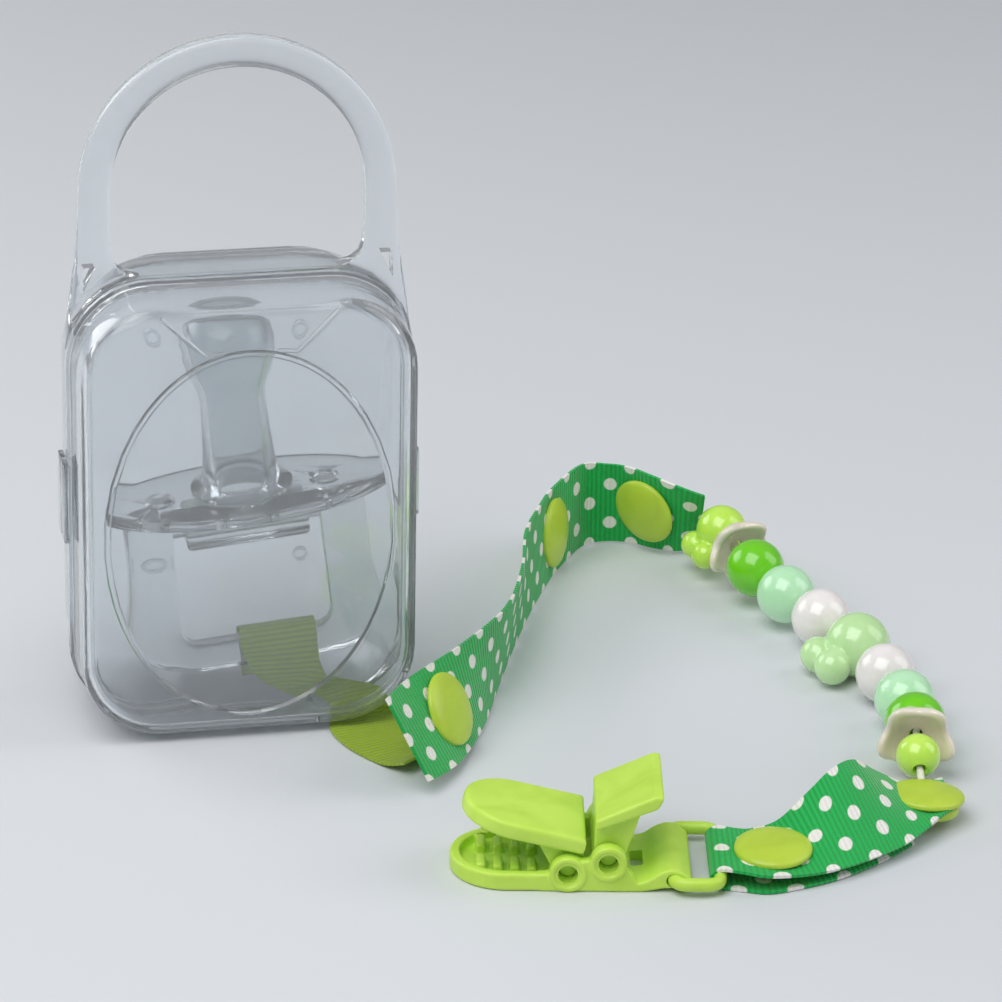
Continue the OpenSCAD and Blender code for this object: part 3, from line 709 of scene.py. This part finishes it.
def makeShield():
    bm = bmesh.new()
    bmesh.ops.create_circle(bm, cap_ends=True, segments=96, radius=1)
    bmesh.ops.scale(bm, vec=(pacifier["width"] / 2, pacifier["depth"] / 2, 1), verts=bm.verts[:])
    top = bmesh.ops.extrude_face_region(bm, geom=bm.faces[:])["geom"]
    bmesh.ops.translate(bm, vec=(0, 0, pacifier["thickness"]),
                        verts=[v for v in top if isinstance(v, bmesh.types.BMVert)])
    rims = [e for e in bm.edges if abs(e.verts[0].co.z - e.verts[1].co.z) < 1e-7]
    bmesh.ops.bevel(bm, geom=rims, offset=0.0007, affect="EDGES", segments=4, profile=0.5, material=-1)
    bmesh.ops.recalc_face_normals(bm, faces=bm.faces[:])
    bm.transform(inPacifier)
    piece = newObject("shieldPlate", bm)
    holes = bmesh.new()
    t, r, c = pacifier["thickness"], pacifier["ventRadius"], 0.0005
    funnel = [(0, -0.001), (r + c + 0.001, -0.001), (r + c, 0), (r, c), (r, t - c), (r + c, t),
              (r + c + 0.001, t + 0.001),
              (0, t + 0.001)]
    for x in (-pacifier["vent"], pacifier["vent"]):
        addTurned(holes, funnel, inPacifier @ Matrix.Translation((x, 0, 0)), 40)
    addTurned(holes, [(0, -0.001), (0.005, -0.001), (0.005, t + 0.001), (0, t + 0.001)], inPacifier, 48)
    cutAway(piece, holes)
    return finishPiece(piece, pacifierPlastic, "case", ["shield"], 40)


def makeTeat():
    seat = pacifier["thickness"] + 0.00005
    outside = [(0.0044, 0), (0.0083, 0), (0.0086, 0.0003), (0.0086, 0.0008), (0.0082, 0.0011), (0.0072, 0.0013),
               (0.0067, 0.0019), (0.0064, 0.0032), (0.0061, 0.0055), (0.0058, 0.009), (0.0056, 0.013),
               (0.0055, 0.016), (0.0057, 0.0181), (0.0064, 0.0199), (0.0072, 0.0215), (0.0078, 0.0233),
               (0.0081, 0.0252), (0.008, 0.0272), (0.0075, 0.0291), (0.0066, 0.0307), (0.0054, 0.0318),
               (0.0036, 0.0324), (0.0018, 0.03255), (0, 0.0326)]
    inside = [(0, 0.0314), (0.0018, 0.03135), (0.0032, 0.0312), (0.0047, 0.0307), (0.0058, 0.0298),
              (0.0065, 0.0285), (0.0068, 0.027), (0.0069, 0.0252), (0.0066, 0.0236), (0.0059, 0.0217),
              (0.0051, 0.02), (0.0045, 0.0182), (0.0043, 0.016), (0.0044, 0.013), (0.0044, 0.004)]
    bm = bmesh.new()
    addTurned(bm, outside[::-1] + inside[::-1], inPacifier @ Matrix.Translation((0, 0, seat)), 72)
    return finishPiece(newObject("siliconeTeat", bm), clearSilicone(), "case", ["teat"], 50)


def makeHub():
    bm = bmesh.new()
    addBlock(bm, (-0.0105, -0.0032, -0.007), (0.0105, 0.0032, -0.0011), 0.0009, inPacifier, 4)
    piece = newObject("teatHubMoulding", bm)
    bore = bmesh.new()
    addRod(bore, 0.00126, (-0.02, 0, -0.004), (0.02, 0, -0.004), 0, inPacifier)
    cutAway(piece, bore)
    return finishPiece(piece, pacifierPlastic, "case", ["teat_hub"])


def makeRing():
    # a flat U whose legs splay towards the bottom bar; two stubs turn in the hub
    ring = {"top": -0.0016, "low": -0.03, "bar": 0.005, "thick": 0.0036, "corner": (0.0099, -0.0196)}
    cornerX, cornerZ = ring["corner"]
    leg = [((0.0125, ring["top"]), (0.0198, ring["top"])), ((0.0125, -0.0024), (0.0203, -0.0024)),
           ((0.0126, -0.008), (0.0205, -0.008)), ((0.0128, -0.015), (0.0206, -0.0155))]
    for k in range(9):
        a = math.pi / 2 * k / 8
        leg.append(((cornerX + 0.0031 * math.cos(a), cornerZ - 0.0022 - 0.0032 * math.sin(a)),
                    (cornerX + 0.0108 * math.cos(a), cornerZ - 0.0104 * math.sin(a))))
    bm = bmesh.new()
    stations = leg + [((0, ring["low"] + ring["bar"]), (0, ring["low"]))]
    stations += [((-near[0], near[1]), (-far[0], far[1])) for near, far in reversed(leg)]
    addBand(bm, stations, ring["thick"], 0.0008, inPacifier)
    for side in (-1, 1):
        addRod(bm, 0.0012, (side * 0.0056, 0, -0.004), (side * 0.0128, 0, -0.004), 0.0002, inPacifier)
    return finishPiece(newObject("ringHandleMoulding", bm), pacifierPlastic, "ring", ["ring_handle"])


makeShield()
makeTeat()
makeHub()
makeRing()
print("pacifier made")

# Snaps
snap = {"radius": 0.0063, "socketHeight": 0.0018, "cloth": 0.00025,
        "places": [(upperStrap, 1.35, 0.5, 0), (upperStrap, 6.75, 0.5, 0), (upperStrap, 10.7, 0.5, 0),
                   (lowerStrap, 6.6, 0.5, 180), (lowerStrap, 0.95, 0.5, 180)]}


def mouldedPlastic(name, colour, shade, roughness, coat=0.0, scatter=0.0):
    # injection moulded plastic: even colour, faint flow marks and a skin that is not quite flat
    material, shader = newMaterial(name, {
        "IOR": 1.5, "Coat Weight": coat, "Coat Roughness": 0.06, "Subsurface Weight": scatter,
        "Subsurface Radius": (1, 1, 1), "Subsurface Scale": 0.0012})
    place = addNode(material, "ShaderNodeTexCoord")
    flow = addNode(material, "ShaderNodeTexNoise", {"Scale": 110, "Detail": 3, "Distortion": 0.8},
                   {"Vector": place.outputs["Object"]})
    colourMix = addNode(material, "ShaderNodeMix", {"data_type": "RGBA", 6: linear(shade), 7: linear(colour)},
                        {0: addNode(material, "ShaderNodeMapRange", {"From Min": 0.3, "From Max": 0.6},
                                    {"Value": flow.outputs["Fac"]}).outputs[0]})
    satin = addNode(material, "ShaderNodeMapRange",
                    {"From Min": 0.3, "From Max": 0.7, "To Min": roughness * 0.85, "To Max": roughness * 1.15},
                    {"Value": flow.outputs["Fac"]})
    grain = addNode(material, "ShaderNodeTexNoise", {"Scale": 900, "Detail": 2},
                    {"Vector": place.outputs["Object"]})
    bump = addNode(material, "ShaderNodeBump", {"Strength": 0.12, "Distance": 0.0001},
                   {"Height": grain.outputs["Fac"]})
    material.node_tree.links.new(colourMix.outputs[2], shader.inputs["Base Color"])
    material.node_tree.links.new(satin.outputs[0], shader.inputs["Roughness"])
    material.node_tree.links.new(bump.outputs["Normal"], shader.inputs["Normal"])
    return material


# acetal resin snap: dense, satin, a little olive
snapPlastic = mouldedPlastic("acetalSnap", "#BFDA45", "#B3CD3C", 0.33)


def makeSnaps():
    r, c = snap["radius"], snap["cloth"]
    cap = [(0, c), (r * 0.96, c), (r, c + 0.0003), (r, c + 0.0006), (r * 0.985, c + 0.00085),
           (r * 0.95, c + 0.00103), (r * 0.85, c + 0.0013), (r * 0.7, c + 0.00152), (r * 0.5, c + 0.00172),
           (r * 0.25, c + 0.00186), (0, c + 0.0019)]
    s, h = r - 0.0008, -c - snap["socketHeight"]
    socket = [(0.0017, -c), (s * 0.95, -c), (s, -c - 0.0003), (s, h + 0.0004), (s - 0.0003, h + 0.0001),
              (s - 0.0008, h), (0.0042, h), (0.0038, h + 0.0003), (0.0034, h + 0.0007), (0.0026, h + 0.0007),
              (0.0022, h + 0.0003), (0.0018, h + 0.0001), (0.0017, h + 0.0004)]
    post = [(0, -c - 0.001), (0.0014, -c - 0.001), (0.0016, -c - 0.0007), (0.0016, c + 0.0002), (0, c + 0.0002)]
    for k, (ribbon, t, across, turn) in enumerate(snap["places"]):
        place = ribbonFrame(ribbon, t, across) @ Matrix.Rotation(math.radians(turn), 4, "X")
        bm = bmesh.new()
        addTurned(bm, cap, place, 72)
        addTurned(bm, post, place, 32)
        finishPiece(newObject(f"snapCap{k + 1}", bm), snapPlastic, "case", [f"snap_cap_{k + 1}"])
        bm = bmesh.new()
        addTurned(bm, socket, place, 64, closed=True)
        finishPiece(newObject(f"snapSocket{k + 1}", bm), snapPlastic, "case",
                    [f"snap_socket_{k + 1}"])


makeSnaps()
print("snaps made")

# Beads
beadColours = {
    "lime": ("#CDF763", "#C0EE52"), "ivory": ("#EDE3D2", "#E2D6C2"), "green": ("#76D617", "#68C70C"),
    "mint": ("#C6F4C9", "#B9ECBC"), "white": ("#F6F0EE", "#EDE6E4"), "pale_green": ("#C9EEB0", "#BDE6A2")}
# glossy acrylic beads: a deep clear skin over an even colour that glows a little
beadPlastics = {name: mouldedPlastic(f"acrylicBead_{name}", *colours, 0.22, 0.6, 0.15)
                for name, colours in beadColours.items()}
bead = {"bore": 0.001, "radius": 0.0052}


def beadFrame(node):
    joint = joints[f"{node}_spin"]
    z = Vector(joint["axis"]).normalized()
    y = Vector((0, 0, 1)).cross(z).normalized()
    return basis(y.cross(z), y, z, joint["pos_m"])


def boredBall(radius):
    # profile of a ball with a bore and a small flat round each mouth
    bore, mouth = bead["bore"], bead["bore"] + 0.0003
    start = math.asin(mouth / radius)
    arc = [(radius * math.sin(a), radius * math.cos(a))
           for a in [start + (math.pi - 2 * start) * k / 28 for k in range(29)]]
    return [(bore, arc[0][1] - 0.0003), *arc, (bore, arc[-1][1] + 0.0003)]


def makeRoundBead(node, radius, colour):
    bm = bmesh.new()
    addTurned(bm, boredBall(radius), beadFrame(node), 56, closed=True)
    finishPiece(newObject(node.replace("_", "") + "Acrylic", bm), beadPlastics[colour], f"{node}_body",
                [node], 60)


def drill(piece, place):
    bore = bmesh.new()
    addRod(bore, bead["bore"], (0, 0, -0.012), (0, 0, 0.012), 0, place)
    cutAway(piece, bore)


def makeBearBead(node, radius, turn, colour):
    # a round head with two round ears, blended where they meet
    place = beadFrame(node) @ Matrix.Rotation(math.radians(turn), 4, "Z")
    bm = bmesh.new()
    addBall(bm, radius, (0, 0, 0), turn=place)
    for side in (-1, 1):
        addBall(bm, radius * 0.56, (radius * 1.15, 0, side * radius * 0.48), turn=place)
    piece = newObject(node.replace("_", "") + "Acrylic", bm)
    fuse(piece, 0.0003, 4)
    drill(piece, place)
    finishPiece(piece, beadPlastics[colour], f"{node}_body", [node], 60)


def makeFlowerBead(node, radius, cup, colour):
    # a five-petalled cup: its rim swings in and out, and up and down, with the petals
    place = beadFrame(node)
    rim = radius * 0.88
    shape = [(bead["bore"], -cup * 0.48), (rim * 0.35, -cup * 0.52), (rim * 0.62, -cup * 0.42),
             (rim * 0.84, -cup * 0.16), (rim * 0.96, cup * 0.14), (rim, cup * 0.34), (rim * 0.975, cup * 0.5),
             (rim * 0.9, cup * 0.57), (rim * 0.8, cup * 0.5), (rim * 0.68, cup * 0.28), (rim * 0.52, cup * 0.06),
             (rim * 0.33, -cup * 0.06), (bead["bore"], -cup * 0.1)]
    bm = bmesh.new()
    addTurned(bm, shape, None, 80, closed=True)
    for vertex in bm.verts:
        reach = math.hypot(vertex.co.x, vertex.co.y)
        share = max(0, reach - 0.0015) / (rim - 0.0015)
        swing = math.cos(5 * math.atan2(vertex.co.y, vertex.co.x))
        vertex.co.x *= 1 + 0.11 * swing * share
        vertex.co.y *= 1 + 0.11 * swing * share
        vertex.co.z += 0.0009 * swing * share * share
    bm.transform(place)
    piece = newObject(node.replace("_", "") + "Acrylic", bm)
    rounded = piece.modifiers.new("rounded", "SUBSURF")
    rounded.levels = rounded.render_levels = 1
    settle(piece)
    finishPiece(piece, beadPlastics[colour], f"{node}_body", [node], 0)


for node, colour, radius in (("round_bead_3", "green", 0.0052), ("round_bead_4", "mint", 0.0052),
                             ("round_bead_5", "white", 0.0052), ("round_bead_7", "white", 0.0052),
                             ("round_bead_8", "mint", 0.0052), ("round_bead_9", "green", 0.0052),
                             ("round_bead_11", "lime", 0.0037)):
    makeRoundBead(node, radius, colour)
makeBearBead("bear_bead_1", 0.0046, -50, "lime")
makeBearBead("bear_bead_6", 0.0057, -72, "pale_green")
makeFlowerBead("flower_bead_2", 0.0067, 0.0038, "ivory")
makeFlowerBead("flower_bead_10", 0.007, 0.004, "ivory")
print("beads made")

# Clip: X runs from nose to tail, Y across, Z up
clip = {"place": (0.0235, -0.067, 0), "turn": -11, "width": 0.018, "ear": 0.002, "pin": 0.0015,
        "jawPin": (0.0188, 0.003), "leverPin": (0.0252, 0.0049), "bail": (0.0356, 0.0021), "bailLength": 0.0075,
        "bailWire": 0.0011}
inClip = Matrix.Translation(clip["place"]) @ Matrix.Rotation(math.radians(clip["turn"]), 4, "Z")
# polypropylene garment clip: bright, satin from a spark-eroded mould
clipPlastic = mouldedPlastic("limePolypropyleneClip", "#CBEE5E", "#BDE24B", 0.38, 0.0, 0.1)


def noseOutline(start, end, width):
    # a straight plate with a half-round nose
    half, steps = width / 2, 24
    turns = [math.pi * k / steps - math.pi / 2 for k in range(steps + 1)]
    return [(start + half * (1 - math.cos(t)), -half * math.sin(t), 0) for t in turns] + [
        (end, -half, 0), (end, half, 0)]


def makeClipBase():
    half, ear = clip["width"] / 2, clip["ear"]
    bailX, bailZ = clip["bail"]
    bm = bmesh.new()
    addPlate(bm, noseOutline(0, 0.0175, 2 * half), 0, 0.003, 0.0005)
    piece = newObject("clipBaseMoulding", bm)
    recess = bmesh.new()
    addPlate(recess, noseOutline(0.0016, 0.03, 2 * half - 0.0032), 0.0014, 0.006, 0)
    cutAway(piece, recess)
    bm = bmesh.new()
    bm.from_mesh(piece.data)
    bpy.data.objects.remove(piece)
    addBlock(bm, (0.016, -half, 0), (0.0307, half, 0.0016), 0.0003)
    for k in range(4):
        # two rows of teeth, a little lower at each step towards the tail
        x = 0.0042 + 0.0027 * k
        for y in (-0.0035, 0.0035):
            addBlock(bm, (x, y - 0.0021, 0.001), (x + 0.0016, y + 0.0021, 0.0031 - 0.0002 * k), 0.0005)
    for side in (-1, 1):
        inner, outer = sorted((side * (half - ear), side * half))
        wall = [(0.014, 0, 0.0005), (0.0307, 0, 0.0005), (0.0288, 0.0034, 0.0008), (0.0252, 0.0059, 0),
                (0.0188, 0.005, 0), (0.0158, 0.003, 0.0008), (0.014, 0.003, 0)]
        addPlate(bm, wall, -outer, -inner, 0.0003, upright)
        for x, z in (clip["jawPin"], clip["leverPin"]):
            addRod(bm, 0.003, (x, inner, z), (x, outer, z), 0.0003)
            rib = [(0.0021, 0), (0.003, 0), (0.003, 0.0003), (0.0028, 0.0005), (0.0023, 0.0005), (0.0021, 0.0003)]
            turn = Matrix.Translation((x, side * (half - 0.0001), z)) @ Matrix.Rotation(
                math.radians(-90 * side), 4, "X")
            addTurned(bm, rib, turn, 40, closed=True)
    tail = [(0.0285, 0.0002, 0.0003), (0.0307, 0, 0.0003), (0.0344, 0.0007, 0.0008), (0.0384, 0.0006, 0.0004),
            (0.0386, 0.0022, 0.0005), (0.0362, 0.0041, 0.0012), (0.0338, 0.0037, 0.0012), (0.031, 0.0017, 0.001),
            (0.0285, 0.0016, 0)]
    addPlate(bm, tail, -half, half, 0.0004, upright)
    piece = newObject("clipBaseMoulding", bm)
    fuse(piece, 0.00018, 3)
    holes = bmesh.new()
    for x, z in (clip["jawPin"], clip["leverPin"]):
        addRod(holes, clip["pin"] + 0.0001, (x, -0.02, z), (x, 0.02, z))
    addRod(holes, clip["bailWire"] + 0.00006, (bailX, -0.02, bailZ), (bailX, 0.02, bailZ))
    addBlock(holes, (0.0289, -0.0027, -0.001), (0.031, 0.0027, 0.006), 0.0004)
    cutAway(piece, holes)
    piece.data.transform(inClip)
    return finishPiece(piece, clipPlastic, "clip", ["clip_base"], 50)


def makePins():
    reach = clip["width"] / 2 - 0.0024
    for name, node, (x, z) in (("jawPinRod", "jaw_pin", clip["jawPin"]),
                               ("leverPinRod", "lever_pin", clip["leverPin"])):
        bm = bmesh.new()
        addRod(bm, clip["pin"], (x, -reach, z), (x, reach, z), 0.0004, inClip)
        finishPiece(newObject(name, bm), clipPlastic, "clip", [node])


def makeJaw():
    jaw = {"rear": (0.0218, 0.0088), "slope": 13, "length": 0.02, "thick": 0.0028}
    lug = clip["width"] / 2 - clip["ear"] - 0.0003
    jawX, jawZ = clip["jawPin"]
    sloped = (Matrix.Translation((jaw["rear"][0], 0, jaw["rear"][1])) @ Matrix.Rotation(
        math.radians(jaw["slope"]), 4, "Y") @ Matrix.Translation((-jaw["length"], 0, -jaw["thick"])))
    bm = bmesh.new()
    addPlate(bm, noseOutline(0, jaw["length"], clip["width"] - 0.001), 0, jaw["thick"], 0.0007, sloped, 4)
    for k in range(4):
        x = 0.0034 + 0.0026 * k
        for y in (-0.0034, 0.0034):
            addBlock(bm, (x, y - 0.002, -0.0013), (x + 0.0015, y + 0.002, 0.0006), 0.0004, sloped)
    for side in (-1, 1):
        inner, outer = sorted((side * (lug - 0.002), side * lug))
        web = [(jawX - 0.0025, jawZ, 0.0008), (jawX + 0.0025, jawZ, 0.0008), (0.0214, 0.0076, 0), (0.013, 0.0092, 0)]
        addPlate(bm, web, -outer, -inner, 0.0002, upright)
        addRod(bm, 0.0025, (jawX, inner, jawZ), (jawX, outer, jawZ), 0.0002)
    piece = newObject("clipJawMoulding", bm)
    fuse(piece, 0.00018, 3)
    hole = bmesh.new()
    addRod(hole, clip["pin"] + 0.00006, (jawX, -0.02, jawZ), (jawX, 0.02, jawZ))
    cutAway(piece, hole)
    piece.data.transform(inClip)
    return finishPiece(piece, clipPlastic, "jaw", ["clip_jaw"], 50)


def makeLever():
    half = clip["width"] / 2
    lug = half - clip["ear"] - 0.0003
    x, z = clip["leverPin"]
    bm = bmesh.new()
    thumb = [(0.023, 0.0122, 0.0004), (0.0232, 0.0104, 0.0006), (0.033, 0.0142, 0.0006), (0.034, 0.0164, 0.0006),
             (0.0326, 0.0166, 0.0005)]
    addPlate(bm, thumb, -half + 0.0005, half - 0.0005, 0.0005, upright)
    web = [(x - 0.0024, z + 0.001, 0.0006), (x + 0.0026, z, 0.0006), (0.0306, 0.0136, 0), (0.0231, 0.0112, 0)]
    addPlate(bm, web, -lug, lug, 0.0004, upright)
    addRod(bm, 0.0026, (x, -lug, z), (x, lug, z), 0.0003)
    piece = newObject("clipLeverMoulding", bm)
    fuse(piece, 0.00018, 3)
    hole = bmesh.new()
    addRod(hole, clip["pin"] + 0.00006, (x, -0.02, z), (x, 0.02, z))
    cutAway(piece, hole)
    piece.data.transform(inClip)
    return finishPiece(piece, clipPlastic, "lever", ["clip_lever"], 50)


def makeBail():
    # a bent rod of the same plastic, round at its corners
    half = clip["width"] / 2 + 0.0013
    x, z = clip["bail"]
    far, bend = x + clip["bailLength"], 0.0012
    bm = bmesh.new()
    route = [(x, half - bend), (x + bend, half), (far - bend, half), (far, half - bend), (far, bend - half),
             (far - bend, -half), (x + bend, -half), (x, bend - half)]
    corners = [bm.verts.new((a, b, z)) for a, b in route]
    for a, b in zip(corners, corners[1:] + corners[:1]):
        bm.edges.new((a, b))
    piece = newObject("clipBailRod", bm)
    piece.modifiers.new("rod", "SKIN")
    for point in piece.data.skin_vertices[0].data:
        point.radius = (clip["bailWire"] * 1.08, clip["bailWire"] * 1.08)
    rounded = piece.modifiers.new("rounded", "SUBSURF")
    rounded.levels = rounded.render_levels = 3
    settle(piece)
    piece.data.transform(inClip)
    return finishPiece(piece, clipPlastic, "case", ["clip_bail"], 0)


makeClipBase()
makePins()
makeJaw()
makeLever()
makeBail()
print("clip made")

# Floor and light
studio = {"floor": "#D5D8DC", "air": 0.3,
          "lamps": [((-0.25, -0.3, 0.75), (0.7, 0.7), 5.4), ((0.65, -0.1, 0.45), (0.4, 0.6), 1.4),
                    ((-0.5, 0.45, 0.35), (0.5, 0.4), 1.6)]}


def makeStudio():
    bm = bmesh.new()
    bmesh.ops.create_grid(bm, x_segments=1, y_segments=1, size=3)
    floor = newObject("studioFloor", bm)
    paper = newMaterial("paperSweep", {"Base Color": linear(studio["floor"]), "Roughness": 0.75})[0]
    floor.data.materials.append(paper)
    world = bpy.data.worlds.new("studioAir")
    world.use_nodes = True
    world.node_tree.nodes["Background"].inputs["Color"].default_value = linear("#EEF2F7")
    world.node_tree.nodes["Background"].inputs["Strength"].default_value = studio["air"]
    bpy.context.scene.world = world
    target = Vector((0.04, -0.01, 0.04))
    for k, (place, size, power) in enumerate(studio["lamps"]):
        data = bpy.data.lights.new(f"softbox{k}", "AREA")
        data.shape = "RECTANGLE"
        data.size, data.size_y = size
        data.energy = power
        lamp = bpy.data.objects.new(f"softbox{k}", data)
        lamp.matrix_world = Matrix.Translation(place) @ (target - Vector(place)).to_track_quat(
            "-Z", "Y").to_matrix().to_4x4()
        bpy.context.scene.collection.objects.link(lamp)
    bpy.context.scene.view_settings.view_transform = "Standard"


makeStudio()
